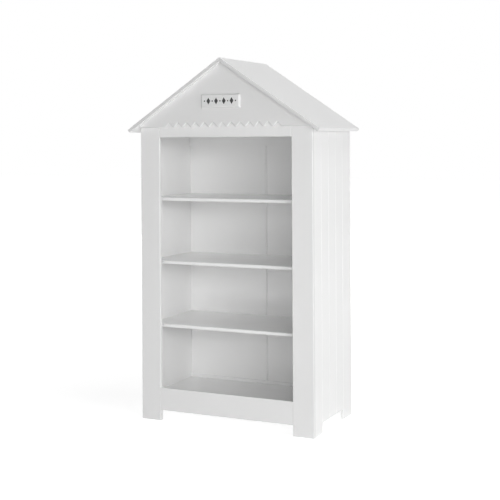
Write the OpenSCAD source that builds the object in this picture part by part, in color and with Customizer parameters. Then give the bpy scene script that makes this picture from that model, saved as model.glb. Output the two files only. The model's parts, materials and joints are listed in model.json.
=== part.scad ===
// House-shaped bookcase of white painted board. Two front posts, a lintel and
// a plinth rail frame the opening, and grooved side panels stand behind the
// posts. A pointed front board with a notched lower edge and a small bevelled
// plaque closes the end of a pitched roof.
// The origin is on the floor, at the middle of the width and depth of the
// whole piece. The front faces -Y and Z is up. Lengths are in millimetres.

/* [Carcass] */
// Width across the two front posts
case_w = 900; // [800:10:1000]
// Depth from the front of the posts to the back
case_d = 490; // [440:10:540]
// Height of the side panels' outer faces, up to the roof
side_h = 1418; // [1380:2:1480]
// Thickness of the side panels
side_t = 12; // [12:1:16]
// Thickness of the shelves and of the top and bottom panels
shelf_t = 16; // [15:1:19]
// Thickness of the two back panels
back_t = 8; // [6:1:10]

/* [Front frame] */
// Thickness of the posts, the lintel and the plinth rail
frame_t = 18; // [16:1:22]
// Width of each front post
post_w = 104; // [84:2:124]
// Rounding along the front edges of the posts
post_round = 3; // [2:0.5:5]
// Depth of the opening's upper end below the side panels' upper edges
lintel_drop = 52; // [44:2:70]
// Height of the lintel
lintel_h = 100; // [84:2:110]
// Height of the lintel that shows below the pointed board
lintel_show = 48; // [40:2:56]
// Bevel along the lintel's ends and lower edge
lintel_bevel = 3; // [2:0.5:4]
// Height of the plinth rail's lower edge
plinth_z = 50; // [40:2:60]
// Height of the plinth rail
plinth_h = 108; // [96:2:120]
// Rounding along the plinth rail's front edges
plinth_round = 1.5; // [1:0.5:3]

/* [Side panels] */
// Height of the gap between the legs
leg_h = 48; // [40:2:60]
// Distance from the front of the posts to the back of the front leg
front_leg_d = 108; // [90:2:126]
// Depth of the rear leg
rear_leg_d = 115; // [90:1:130]
// Rounding of the inner corners between the legs
leg_fillet = 6; // [2:1:12]
// Number of grooves on each side panel
groove_n = 4; // [2:1:5]
// Distance from the front of the posts to the first groove
groove_first = 104; // [90:1:110]
// Distance from one groove to the next
groove_pitch = 91.5; // [60:0.5:94]
// Width of each groove
groove_w = 4; // [2:0.5:6]
// Depth of each groove
groove_deep = 2; // [1:0.5:3]

/* [Roof] */
// Slope of each roof board in degrees
roof_angle = 33.75; // [33:0.25:35]
// Thickness of the roof boards
roof_t = 16; // [15:1:20]
// Reach of the eaves beyond the side panels
eave_out = 50; // [36:2:64]
// Reach of the roof in front of the posts
front_out = 40; // [30:2:60]
// Rounding along the edges of the roof boards
roof_round = 1.5; // [1:0.5:3]

/* [Pointed boards] */
// Thickness of the front board
gable_t = 16; // [12:1:20]
// Bevel along the front board's lower edge and its notches
gable_bevel = 4; // [2:0.5:5]
// Number of notches in the lower edge
notch_n = 13; // [5:2:15]
// Distance from one notch to the next
notch_pitch = 47.2; // [42:0.2:50]
// Width of each notch at its mouth
notch_w = 41; // [24:1:41]
// Height of each notch
notch_h = 20.5; // [12:0.5:24]
// Thickness of the rear board
rear_gable_t = 16; // [15:1:20]

/* [Plaque] */
// Width of the plaque
plaque_w = 205; // [150:1:240]
// Height of the plaque
plaque_h = 68; // [50:1:80]
// Thickness of the plaque
plaque_t = 10; // [6:1:14]
// Width of the bevel round the plaque's face
plaque_bevel = 7; // [4:0.5:9]
// Height of the plaque's centre above the front board's lower edge
plaque_rise = 121; // [110:1:130]
// Sideways place of the plaque's centre
plaque_x = -4; // [-20:1:20]

/* [Shelves] */
// Height of the bottom panel's top face
floor_z = 110; // [104:1:120]
// Height of the lowest shelf's top face
shelf_first = 458; // [430:2:480]
// Distance from one shelf to the next
shelf_pitch = 308; // [290:2:316]
// Distance from the front of the posts to the shelves' front edges
shelf_in = 56; // [40:2:80]
// Rounding of the shelves' front edges
shelf_round = 4; // [2:0.5:6]
// Height of the top panel's lower face above the lintel's lower edge
top_rise = 18; // [10:1:24]

/* [Back] */
// Bevel of the two back panels where they meet
back_bevel = 5; // [2:0.5:5]
// Height of the rail under the top panel
rail_h = 62; // [50:1:80]
// Thickness of the rail
rail_t = 12; // [12:1:16]
// Height of the batten on the bottom panel
batten_h = 16; // [12:1:20]
// Thickness of the batten
batten_t = 8; // [6:1:12]
// Diameter of the two holes for wall screws
wall_hole_d = 6; // [4:0.5:8]
// Distance between the two holes for wall screws
wall_hole_span = 600; // [500:10:650]
// Depth of these holes below the top panel
wall_hole_drop = 11; // [9:1:14]

/* [Fittings] */
// Gap round every dowel, bolt and screw in its hole
fit = 0.1; // [0.05:0.05:0.2]
// Diameter of the large dowels in the front frame
dowel_d = 8; // [6:1:10]
// Length of the large dowels
dowel_l = 30; // [24:1:40]
// Distance from a large dowel to the edge of the lintel or plinth rail
dowel_edge = 24; // [18:1:28]
// Diameter of the small dowels
pin_d = 6; // [5:0.5:6]
// Length of the small dowels
pin_l = 20; // [16:1:20]
// Number of small dowels between each post and its side panel
side_pin_n = 5; // [3:1:6]
// Distance between the outer dowels of the rail under the top panel
rail_pin_span = 490; // [300:10:520]
// Distance from one dowel under the rear board to the next
rear_pin_pitch = 219; // [180:1:240]
// Diameter of the cam locks
cam_d = 15; // [12:0.5:18]
// Height of the cam locks
cam_h = 12.5; // [11:0.5:13]
// Distance from a cam lock's centre to the panel's end
cam_in = 24; // [22:1:34]
// Distance from a cam lock's centre to the panel's front or rear edge
cam_edge = 55; // [45:1:80]
// Diameter of the cam bolts' thread
bolt_d = 5; // [4:0.5:6]
// Depth of the cam bolts in the side panels
bolt_deep = 9; // [7:0.5:9]
// Diameter of the cam bolts' collar
collar_d = 7; // [6:0.5:7.5]
// Diameter of the screws' shank
screw_d = 3.5; // [3:0.5:4]
// Diameter of the screws' head
screw_head = 7; // [6:0.5:8]
// Length of the screws that hold the roof and the pointed board
screw_l = 28; // [24:1:30]
// Wood left in front of a screw's tip in a thin board
tip_left = 3; // [2:0.5:4]
// Distance from one screw behind the pointed board to the next
gable_screw_pitch = 190; // [150:5:205]
// Distance from each end of the plaque to its screw
plaque_screw_in = 37; // [25:1:50]
// Length of the screws in the back panels
back_screw_l = 25; // [20:1:30]
// Number of screws along each back panel's row
back_screw_n = 3; // [2:1:4]
// Depth of the rail's screws below the top panel
rail_screw_drop = 38; // [30:1:44]
// Width and height of the cleats under the roof
cleat = 20; // [16:1:24]
// Distance from the ridge to each cleat's upper end
cleat_top = 70; // [50:1:90]
// Sideways gap between each cleat's lower end and the post
cleat_gap = 14; // [10:1:40]
// Distance from a cleat's end to its first screw
cleat_screw_in = 50; // [30:1:70]

/* [Hidden] */
$fn = 32;

// Faces and planes that several pieces share
half_w = case_w / 2;
side_in = half_w - side_t;             // inner face of a side panel
post_in = half_w - post_w;             // inner edge of a post
front_y = front_out - (case_d + front_out) / 2;  // front of the posts
frame_back = front_y + frame_t;        // back of the posts and rails
back_y = front_y + case_d;             // back of the whole piece
back_in = back_y - back_t;             // inner face of the back panels
shelf_front = front_y + shelf_in;
lintel_z = side_h - lintel_drop;       // lower edge of the lintel
lintel_top = lintel_z + lintel_h;
gable_z = lintel_z + lintel_show;      // lower edge of the front board
gable_front = front_y - gable_t;
top_z = lintel_z + top_rise;           // lower face of the top panel
top_face = top_z + shelf_t;            // upper face of the top panel
roof_span = half_w + eave_out;
roof_len = roof_span / cos(roof_angle);
under_ridge = side_h + half_w * tan(roof_angle);
ridge_h = under_ridge + roof_t / cos(roof_angle);
cut = 0.5;                             // how far a cutter runs past a face
screw_bite = 1;                        // free depth at the end of a hole
cleat_end = (post_in - cleat_gap + roof_t * sin(roof_angle)) / cos(roof_angle);
cleat_mid = (cleat_top + cleat_end) / 2;

// Height of the roof's lower face at a distance from the middle
function under(x) = under_ridge - tan(roof_angle) * abs(x);

// Points of a quarter circle that starts at angle a and turns one way or the other
function quarter(centre, r, a, turn = 1, steps = 4) =
    [for (i = [0:steps]) centre + r * [cos(a + turn * 90 * i / steps), sin(a + turn * 90 * i / steps)]];

// ---- building blocks ----

// Box between two corners
module block(low, high) {
    translate(low) cube(high - low);
}

// Outline w wide and d deep with its two corners at depth 0 rounded
module nosed(w, d, r) {
    polygon(concat(quarter([r, r], r, 180), quarter([w - r, r], r, 270), [[w, d], [0, d]]));
}

// Rectangle w by d with four rounded corners
module rounded(w, d, r) {
    polygon(concat(quarter([r, r], r, 180), quarter([w - r, r], r, 270),
                   quarter([w - r, d - r], r, 0), quarter([r, d - r], r, 90)));
}

// Outline given as [z, y] carried from x0 to x1
module along_x(x0, x1) {
    translate([x1, 0, 0]) rotate([0, -90, 0]) linear_extrude(x1 - x0) children();
}

// Outline given as [x, z] carried from y0 to y1
module along_y(y0, y1) {
    translate([0, y1, 0]) rotate([90, 0, 0]) linear_extrude(y1 - y0) children();
}

// Everything below the roof boards
module under_roof() {
    along_y(gable_front - cut, back_y + cut)
        polygon([[-roof_span, 0], [roof_span, 0], [roof_span, under(roof_span)],
                 [0, under_ridge], [-roof_span, under(roof_span)]]);
}

// Rod from a point along a unit direction
module rod(from, dir, d, l) {
    translate(from)
        rotate([0, acos(dir[2]), atan2(dir[1], dir[0])])
            cylinder(d = d, h = l);
}

// Countersunk screw with its head's face at a point, pointing along dir
module screw(from, dir, l, gap = 0) {
    rod(from, dir, screw_d + 2 * gap, l + (gap > 0 ? screw_bite : 0));
    translate(from)
        rotate([0, acos(dir[2]), atan2(dir[1], dir[0])])
            cylinder(d1 = screw_head + 2 * gap, d2 = screw_d + 2 * gap, h = screw_head - screw_d);
}

// The right-hand roof board's frame: x runs down the slope, z is normal to it
module on_slope() {
    translate([0, 0, ridge_h]) rotate([0, roof_angle, 0]) children();
}

module both_sides() {
    children();
    mirror([1, 0, 0]) children();
}

// ---- places of the fittings ----

side_pin_z = [for (k = [0.5:side_pin_n]) floor_z + (top_z - floor_z) * k / side_pin_n];
rail_pin_x = [for (k = [-1:1]) k * rail_pin_span / 2];
rear_pin_x = [for (k = [-1.5:1.5]) k * rear_pin_pitch];

// Panels that cam locks hold: lower face, front edge, rear edge, opening side
panels = [
    [floor_z - shelf_t, frame_back, back_in, 0],
    [shelf_first - shelf_t, shelf_front, back_in, 0],
    [shelf_first + shelf_pitch - shelf_t, shelf_front, back_in, 0],
    [shelf_first + 2 * shelf_pitch - shelf_t, shelf_front, back_in, 0],
    [top_z, frame_back, back_y, 1]
];

// Places along a cleat of its screws into the pointed board, and into the roof
screw_reach = cleat_end - cleat_mid - cleat_screw_in;
cleat_screw_at = [for (k = [-1:1]) cleat_mid + k * screw_reach];
roof_screw_at = [for (k = [-0.5:0.5]) cleat_mid + k * screw_reach];

gable_screw_x = [for (k = [-1.5:1.5]) k * gable_screw_pitch];
gable_screw_z = (gable_z + notch_h + lintel_top) / 2;

// Heights of the screw rows in the back panels
back_row_z = [for (p = [0:3]) panels[p][0] + shelf_t / 2];
rail_row_z = top_z - rail_screw_drop;

module large_dowels(gap = 0) {
    for (rail = [[lintel_z, lintel_top], [plinth_z, plinth_z + plinth_h]],
         z = [rail[0] + dowel_edge, rail[1] - dowel_edge], s = [-1, 1])
        rod([s * (post_in - dowel_l / 2 - (gap > 0 ? screw_bite : 0)), front_y + frame_t / 2, z],
            [s, 0, 0], dowel_d + 2 * gap, dowel_l + (gap > 0 ? 2 * screw_bite : 0));
}

module small_dowel(centre, dir, gap) {
    more = gap > 0 ? screw_bite : 0;
    rod(centre - (pin_l / 2 + more) * dir, dir, pin_d + 2 * gap, pin_l + 2 * more);
}

module small_dowels(gap = 0) {
    for (z = side_pin_z, s = [-1, 1])
        small_dowel([s * (half_w - side_t / 2), frame_back, z], [0, 1, 0], gap);
    for (x = rail_pin_x) small_dowel([x, back_in - rail_t / 2, top_z], [0, 0, 1], gap);
    for (x = rear_pin_x) small_dowel([x, back_y - rear_gable_t / 2, top_face], [0, 0, 1], gap);
}

// Puts its children at each cam lock of a panel, with +X towards the side panel
module at_cams(panel) {
    both_sides()
        for (y = [panel[1] + cam_edge, panel[2] - cam_edge])
            translate([side_in - cam_in, y, panel[0] + shelf_t / 2])
                mirror([0, 0, panel[3]]) children();
}

// Pockets and bolt holes in one panel
module cam_holes(panel) {
    at_cams(panel) {
        translate([0, 0, -shelf_t / 2 - cut]) cylinder(d = cam_d + 2 * fit, h = cam_h + cut + 2 * fit);
        rod([0, 0, 0], [1, 0, 0], collar_d + 2 * fit, cam_in + cut);
    }
}

module bolt_holes() {
    for (p = panels) at_cams(p)
        rod([cam_in - cut, 0, 0], [1, 0, 0], bolt_d + 2 * fit, bolt_deep + cut + screw_bite);
}

module back_screw_set(gap = 0) {
    both_sides() for (i = [0.5:1:back_screw_n]) {
        for (z = back_row_z)
            screw([i * side_in / back_screw_n, back_y, z], [0, -1, 0], back_screw_l, gap);
        screw([i * side_in / back_screw_n, back_y, rail_row_z], [0, -1, 0],
              back_t + rail_t - tip_left, gap);
    }
}

// Screws of the two right-hand cleats: down the slope they alternate between
// the pointed boards and the roof board
module cleat_screw_set(gap = 0) {
    on_slope() {
        for (at = cleat_screw_at) {
            screw([at, front_y + cleat, -roof_t - cleat / 2], [0, -1, 0], screw_l, gap);
            screw([at, back_y - rear_gable_t - cleat, -roof_t - cleat / 2], [0, 1, 0], screw_l, gap);
        }
        for (at = roof_screw_at, y = [front_y + cleat / 2, back_y - rear_gable_t - cleat / 2])
            screw([at, y, -roof_t - cleat], [0, 0, 1], screw_l, gap);
    }
}

module gable_screw_set(gap = 0) {
    for (x = gable_screw_x)
        screw([x, frame_back, gable_screw_z], [0, -1, 0], screw_l, gap);
}

module plaque_screw_set(gap = 0) {
    for (s = [-1, 1])
        screw([plaque_x + s * (plaque_w / 2 - plaque_screw_in), front_y, gable_z + plaque_rise],
              [0, -1, 0], gable_t + plaque_t - tip_left, gap);
}

module wall_holes() {
    for (s = [-1, 1])
        rod([s * wall_hole_span / 2, back_y + cut, top_z - wall_hole_drop], [0, -1, 0],
            wall_hole_d, back_t + rail_t + 2 * cut);
}

// ---- front frame ----

module post() {
    difference() {
        intersection() {
            translate([post_in, front_y, 0])
                linear_extrude(under(post_in)) nosed(post_w, frame_t, post_round);
            under_roof();
        }
        large_dowels(fit);
        small_dowels(fit);
    }
}

module left_post() {
    color("white") mirror([1, 0, 0]) post();
}

module right_post() {
    color("white") post();
}

module lintel() {
    color("whitesmoke") difference() {
        intersection() {
            along_x(-post_in, post_in)
                polygon([[lintel_z + lintel_bevel, front_y], [lintel_z, front_y + lintel_bevel],
                         [lintel_z, frame_back], [lintel_top, frame_back], [lintel_top, front_y]]);
            linear_extrude(lintel_top)
                polygon([[lintel_bevel - post_in, front_y], [post_in - lintel_bevel, front_y],
                         [post_in, front_y + lintel_bevel], [post_in, frame_back],
                         [-post_in, frame_back], [-post_in, front_y + lintel_bevel]]);
            under_roof();
        }
        large_dowels(fit);
        gable_screw_set(fit);
    }
}

module plinth_rail() {
    color("whitesmoke") difference() {
        along_x(-post_in, post_in)
            translate([plinth_z, front_y]) nosed(plinth_h, frame_t, plinth_round);
        large_dowels(fit);
    }
}

// ---- pointed boards ----

// x of the point where a level line at height z meets the roof's lower face
function under_x(z) = (under_ridge - z) / tan(roof_angle);

// Section of the front board's bevel, with its edge at a height of 0
module gable_bevel_section(below) {
    polygon([[-below, gable_front - cut], [gable_bevel + cut, gable_front - cut],
             [-cut, gable_front + gable_bevel + cut], [-below, gable_front + gable_bevel + cut]]);
}

// Everything under the bevel of the notch's right slope, for a notch with its middle at x = 0
module under_notch_slope() {
    reach = notch_w + notch_h;
    translate([0, 0, gable_z + notch_h]) rotate([0, atan2(notch_h, notch_w / 2), 0])
        along_x(-reach, reach) gable_bevel_section(reach);
}

module gable_board() {
    base_x = under_x(gable_z);
    notch_x = [for (k = [0:notch_n - 1]) (k - (notch_n - 1) / 2) * notch_pitch];
    notches = [for (x = notch_x, p = [[-1, 0], [0, 1], [1, 0]])
        [x + p[0] * notch_w / 2, gable_z + p[1] * notch_h]];
    color("whitesmoke") difference() {
        along_y(gable_front, front_y)
            polygon(concat([[-base_x, gable_z]], notches, [[base_x, gable_z], [0, under_ridge]]));
        translate([0, 0, gable_z]) along_x(-base_x - cut, base_x + cut) gable_bevel_section(2 * cut);
        for (x = notch_x) translate([x, 0, 0]) intersection() {
            under_notch_slope();
            mirror([1, 0, 0]) under_notch_slope();
        }
        gable_screw_set(fit);
        plaque_screw_set(fit);
        cleat_screw_set(fit);
        mirror([1, 0, 0]) cleat_screw_set(fit);
    }
}

// A bevelled plate: one outline seen from above crossed with one seen from the side
module gable_plaque() {
    plaque_z = gable_z + plaque_rise;
    plaque_front = gable_front - plaque_t;
    color("white") difference() {
        intersection() {
            translate([0, 0, plaque_z - plaque_h / 2]) linear_extrude(plaque_h)
                polygon([[plaque_x - plaque_w / 2, gable_front],
                         [plaque_x - plaque_w / 2 + plaque_bevel, plaque_front],
                         [plaque_x + plaque_w / 2 - plaque_bevel, plaque_front],
                         [plaque_x + plaque_w / 2, gable_front]]);
            along_x(plaque_x - plaque_w / 2, plaque_x + plaque_w / 2)
                polygon([[plaque_z - plaque_h / 2, gable_front],
                         [plaque_z - plaque_h / 2 + plaque_bevel, plaque_front],
                         [plaque_z + plaque_h / 2 - plaque_bevel, plaque_front],
                         [plaque_z + plaque_h / 2, gable_front]]);
        }
        plaque_screw_set(fit);
    }
}

module rear_gable() {
    color("gainsboro") difference() {
        along_y(back_y - rear_gable_t, back_y)
            polygon([[-side_in, top_face], [side_in, top_face], [side_in, under(side_in)],
                     [0, under_ridge], [-side_in, under(side_in)]]);
        small_dowels(fit);
        cleat_screw_set(fit);
        mirror([1, 0, 0]) cleat_screw_set(fit);
    }
}

// ---- side panels ----

module side_panel() {
    leg_front = front_y + front_leg_d;
    leg_rear = back_y - rear_leg_d;
    top = under(side_in) + cut;
    difference() {
        intersection() {
            along_x(side_in, half_w)
                polygon(concat(
                    [[0, frame_back], [top, frame_back], [top, back_y], [0, back_y], [0, leg_rear]],
                    quarter([leg_h - leg_fillet, leg_rear - leg_fillet], leg_fillet, 90, -1),
                    quarter([leg_h - leg_fillet, leg_front + leg_fillet], leg_fillet, 0, -1),
                    [[0, leg_front]]));
            under_roof();
        }
        for (k = [0:groove_n - 1])
            translate([half_w, front_y + groove_first + k * groove_pitch, -cut])
                linear_extrude(top + 2 * cut)
                    polygon([[0, -groove_w / 2], [cut, -groove_w / 2], [cut, groove_w / 2],
                             [0, groove_w / 2], [-groove_deep, 0]]);
        small_dowels(fit);
        bolt_holes();
    }
}

module left_side_panel() {
    color("white") mirror([1, 0, 0]) side_panel();
}

module right_side_panel() {
    color("white") side_panel();
}

// ---- roof ----

module roof_board() {
    difference() {
        intersection() {
            on_slope()
                translate([roof_len, 0, 0]) rotate([0, -90, 0]) linear_extrude(2 * roof_len)
                    translate([-roof_t, front_y - front_out])
                        rounded(roof_t, case_d + front_out, roof_round);
            block([0, front_y - front_out - cut, 0], [roof_span + cut, back_y + cut, ridge_h + cut]);
        }
        cleat_screw_set(fit);
    }
}

module left_roof_board() {
    color("white") mirror([1, 0, 0]) roof_board();
}

module right_roof_board() {
    color("white") roof_board();
}

module cleat_bar(y0) {
    difference() {
        on_slope() block([cleat_top, y0, -roof_t - cleat], [cleat_end, y0 + cleat, -roof_t]);
        cleat_screw_set(fit);
    }
}

module front_right_cleat() {
    color("wheat") cleat_bar(front_y);
}

module front_left_cleat() {
    color("wheat") mirror([1, 0, 0]) cleat_bar(front_y);
}

module rear_right_cleat() {
    color("wheat") cleat_bar(back_y - rear_gable_t - cleat);
}

module rear_left_cleat() {
    color("wheat") mirror([1, 0, 0]) cleat_bar(back_y - rear_gable_t - cleat);
}

// ---- top, bottom and shelves ----

module top_panel() {
    color("whitesmoke") difference() {
        block([-side_in, frame_back, top_z], [side_in, back_y, top_face]);
        cam_holes(panels[4]);
        small_dowels(fit);
    }
}

module bottom_panel() {
    color("whitesmoke") difference() {
        block([-side_in, frame_back, panels[0][0]], [side_in, back_in, floor_z]);
        cam_holes(panels[0]);
        back_screw_set(fit);
    }
}

module shelf(k) {
    p = panels[k];
    difference() {
        along_x(-side_in, side_in)
            translate([p[0], shelf_front]) nosed(shelf_t, back_in - shelf_front, shelf_round);
        cam_holes(p);
        back_screw_set(fit);
    }
}

module lower_shelf() {
    color("white") shelf(1);
}

module middle_shelf() {
    color("white") shelf(2);
}

module upper_shelf() {
    color("white") shelf(3);
}

// ---- back ----

module back_panel() {
    difference() {
        translate([0, 0, panels[0][0]]) linear_extrude(top_z - panels[0][0])
            polygon([[back_bevel, back_in], [side_in, back_in], [side_in, back_y],
                     [0, back_y], [0, back_in + back_bevel]]);
        back_screw_set(fit);
        wall_holes();
    }
}

module left_back_panel() {
    color("gainsboro") mirror([1, 0, 0]) back_panel();
}

module right_back_panel() {
    color("gainsboro") back_panel();
}

module back_rail() {
    color("whitesmoke") difference() {
        block([-side_in, back_in - rail_t, top_z - rail_h], [side_in, back_in, top_z]);
        small_dowels(fit);
        back_screw_set(fit);
        wall_holes();
    }
}

module bottom_batten() {
    color("whitesmoke")
        block([-side_in, back_in - batten_t, floor_z], [side_in, back_in, floor_z + batten_h]);
}

// ---- fittings ----

// The lock turns on the bolt's head, which stands in the hollow on its side
module cam_lock() {
    slot_w = 1.6;
    slot_deep = 2;
    slot_half = 0.3 * cam_d;
    difference() {
        translate([0, 0, -shelf_t / 2 + fit]) cylinder(d = cam_d, h = cam_h);
        rod([-collar_d / 2, 0, 0], [1, 0, 0], collar_d + 4 * fit, cam_d);
        for (a = [0, 90])
            rotate([0, 0, a])
                block([-slot_half, -slot_w / 2, -shelf_t / 2 - cut],
                      [slot_half, slot_w / 2, -shelf_t / 2 + slot_deep]);
    }
}

module cam_locks() {
    color("silver") for (p = panels) at_cams(p) cam_lock();
}

module cam_bolts() {
    head_l = 3;
    neck_l = 4;
    neck_d = 0.6 * collar_d;
    color("silver") for (p = panels) at_cams(p) {
        rod([0, 0, 0], [1, 0, 0], collar_d - fit, head_l);
        rod([head_l, 0, 0], [1, 0, 0], neck_d, neck_l);
        rod([head_l + neck_l, 0, 0], [1, 0, 0], collar_d, cam_in - head_l - neck_l);
        rod([cam_in, 0, 0], [1, 0, 0], bolt_d, bolt_deep);
    }
}

module frame_dowels() {
    color("burlywood") large_dowels();
}

module panel_dowels() {
    color("burlywood") small_dowels();
}

module gable_screws() {
    color("silver") gable_screw_set();
}

module plaque_screws() {
    color("silver") plaque_screw_set();
}

module cleat_screws() {
    color("silver") both_sides() cleat_screw_set();
}

module back_screws() {
    color("silver") back_screw_set();
}

left_post();
right_post();
lintel();
plinth_rail();
gable_board();
gable_plaque();
left_side_panel();
right_side_panel();
left_roof_board();
right_roof_board();
rear_gable();
top_panel();
bottom_panel();
lower_shelf();
middle_shelf();
upper_shelf();
left_back_panel();
right_back_panel();
back_rail();
bottom_batten();
front_left_cleat();
front_right_cleat();
rear_left_cleat();
rear_right_cleat();
cam_locks();
cam_bolts();
frame_dowels();
panel_dowels();
gable_screws();
plaque_screws();
cleat_screws();
back_screws();
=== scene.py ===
import json
import math

import bmesh
import bpy
from mathutils import Matrix, Vector


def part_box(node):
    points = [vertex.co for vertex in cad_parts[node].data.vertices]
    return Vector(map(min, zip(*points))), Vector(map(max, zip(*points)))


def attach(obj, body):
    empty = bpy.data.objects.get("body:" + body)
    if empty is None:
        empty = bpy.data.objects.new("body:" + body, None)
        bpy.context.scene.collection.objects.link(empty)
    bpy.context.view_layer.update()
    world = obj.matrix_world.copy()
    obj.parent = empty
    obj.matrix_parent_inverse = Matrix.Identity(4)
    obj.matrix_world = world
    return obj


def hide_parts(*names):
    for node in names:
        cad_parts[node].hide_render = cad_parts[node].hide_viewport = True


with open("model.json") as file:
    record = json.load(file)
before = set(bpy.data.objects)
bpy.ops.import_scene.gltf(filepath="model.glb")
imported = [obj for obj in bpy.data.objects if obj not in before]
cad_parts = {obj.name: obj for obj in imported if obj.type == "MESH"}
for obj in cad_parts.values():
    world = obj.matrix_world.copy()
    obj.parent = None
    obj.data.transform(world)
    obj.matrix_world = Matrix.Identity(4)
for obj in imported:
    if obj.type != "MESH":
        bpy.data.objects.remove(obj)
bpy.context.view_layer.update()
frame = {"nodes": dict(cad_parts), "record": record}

scene = bpy.context.scene
body = "root"
print("frame loaded:", len(frame["nodes"]), "nodes")


# An input is a value, a socket, or a list of sockets that all join it
def addNode(tree, kind, inputs=None, **settings):
    node = tree.nodes.new(kind)
    for name, value in settings.items():
        setattr(node, name, value)
    for name, value in (inputs or {}).items():
        socket = node.inputs[name]
        if isinstance(value, (bpy.types.NodeSocket, list)):
            for source in value if isinstance(value, list) else [value]:
                tree.links.new(source, socket)
        else:
            socket.default_value = value
    return node


def newGroup(name, kind, inputs, outputs):
    tree = bpy.data.node_groups.new(name, kind)
    for label, socketKind, value in inputs:
        socket = tree.interface.new_socket(label, in_out="INPUT", socket_type=socketKind)
        if value is not None:
            socket.default_value = value
    for label, socketKind in outputs:
        tree.interface.new_socket(label, in_out="OUTPUT", socket_type=socketKind)
    start = tree.nodes.new("NodeGroupInput")
    end = tree.nodes.new("NodeGroupOutput")
    return tree, start.outputs, end.inputs


def mathNode(tree, operation, first, second=0.0, third=0.5):
    return addNode(tree, "ShaderNodeMath", {0: first, 1: second, 2: third},
                   operation=operation).outputs[0]


def multiply(tree, first, second):
    return mathNode(tree, "MULTIPLY", first, second)


def noiseNode(tree, place, scale, detail, roughness):
    inputs = {"Vector": place, "Scale": scale, "Detail": detail, "Roughness": roughness}
    return addNode(tree, "ShaderNodeTexNoise", inputs).outputs["Fac"]


def mixColours(tree, share, first, second):
    return addNode(tree, "ShaderNodeMix", {"Factor": share, 6: first, 7: second},
                   data_type="RGBA").outputs[2]


def objectPlace(tree):
    return addNode(tree, "ShaderNodeTexCoord").outputs["Object"]


def faceMark(tree, name):
    return addNode(tree, "ShaderNodeAttribute", attribute_name=name).outputs["Fac"]


floatKind = "NodeSocketFloat"
countKind = "NodeSocketInt"
boolKind = "NodeSocketBool"
vectorKind = "NodeSocketVector"
colourKind = "NodeSocketColor"
objectKind = "NodeSocketObject"
materialKind = "NodeSocketMaterial"
geometryKind = "NodeSocketGeometry"
surfaceOutputs = [("Color", colourKind), ("Roughness", floatKind), ("Height", floatKind)]


# Sprayed satin paint: slow drift in tone and sheen, fine orange peel, thinner paint on the arrises
# and painted shade on the board ends that look along Y
def makePaintGroup():
    tree, given, result = newGroup("paintCoat", "ShaderNodeTree", [
        ("Paint", colourKind, (0.8, 0.8, 0.8, 1.0)),
        ("Drift Paint", colourKind, (0.76, 0.76, 0.75, 1.0)),
        ("Drift Scale", floatKind, 4.0),
        ("Arris Tone", floatKind, 0.3),
        ("Shaded End Paint", colourKind, (0.8, 0.8, 0.8, 1.0)),
        ("Sheen Roughness", floatKind, 0.24),
        ("Sheen Spread", floatKind, 0.06),
        ("Peel Scale", floatKind, 260.0),
        ("Wave Scale", floatKind, 12.0),
        ("Wave Height", floatKind, 6.0),     # times the height of the peel
    ], surfaceOutputs)
    place = objectPlace(tree)
    drift = noiseNode(tree, place, given["Drift Scale"], detail=4.0, roughness=0.6)
    worn = multiply(tree, faceMark(tree, "arris"), given["Arris Tone"])
    amount = mathNode(tree, "MAXIMUM", drift, worn)
    colour = mixColours(tree, amount, given["Paint"], given["Drift Paint"])
    coat = mixColours(tree, faceMark(tree, "boardEnd"), colour, given["Shaded End Paint"])
    tree.links.new(coat, result["Color"])

    wave = noiseNode(tree, place, given["Wave Scale"], detail=3.0, roughness=0.55)
    centred = mathNode(tree, "SUBTRACT", wave, 0.5)
    spread = multiply(tree, centred, given["Sheen Spread"])
    tree.links.new(mathNode(tree, "ADD", spread, given["Sheen Roughness"]), result["Roughness"])

    peel = noiseNode(tree, place, given["Peel Scale"], detail=2.0, roughness=0.5)
    swell = multiply(tree, wave, given["Wave Height"])
    tree.links.new(mathNode(tree, "ADD", peel, swell), result["Height"])
    return tree


# Planed softwood: long fibres across faint year rings
def makeWoodGroup():
    tree, given, result = newGroup("bareWood", "ShaderNodeTree", [
        ("Early Wood", colourKind, (0.72, 0.52, 0.32, 1.0)),
        ("Late Wood", colourKind, (0.52, 0.33, 0.17, 1.0)),
        ("Ring Scale", floatKind, 60.0),
        ("Fibre Scale", floatKind, 500.0),
        ("Fibre Stretch", vectorKind, (1.0, 1.0, 0.12)),     # drawn out along Z
        ("Base Roughness", floatKind, 0.5),
        ("Roughness Spread", floatKind, 0.2),
    ], surfaceOutputs)
    stretched = addNode(tree, "ShaderNodeMapping", {
        "Vector": objectPlace(tree), "Scale": given["Fibre Stretch"],
    }).outputs[0]
    rings = addNode(tree, "ShaderNodeTexWave", {
        "Vector": stretched, "Scale": given["Ring Scale"], "Distortion": 3.0, "Detail": 2.0,
    }, wave_type="RINGS").outputs["Fac"]
    fibre = noiseNode(tree, stretched, given["Fibre Scale"], detail=3.0, roughness=0.6)
    colour = mixColours(tree, multiply(tree, rings, fibre), given["Early Wood"], given["Late Wood"])
    tree.links.new(colour, result["Color"])
    spread = multiply(tree, fibre, given["Roughness Spread"])
    tree.links.new(mathNode(tree, "ADD", spread, given["Base Roughness"]), result["Roughness"])
    tree.links.new(fibre, result["Height"])
    return tree


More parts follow.
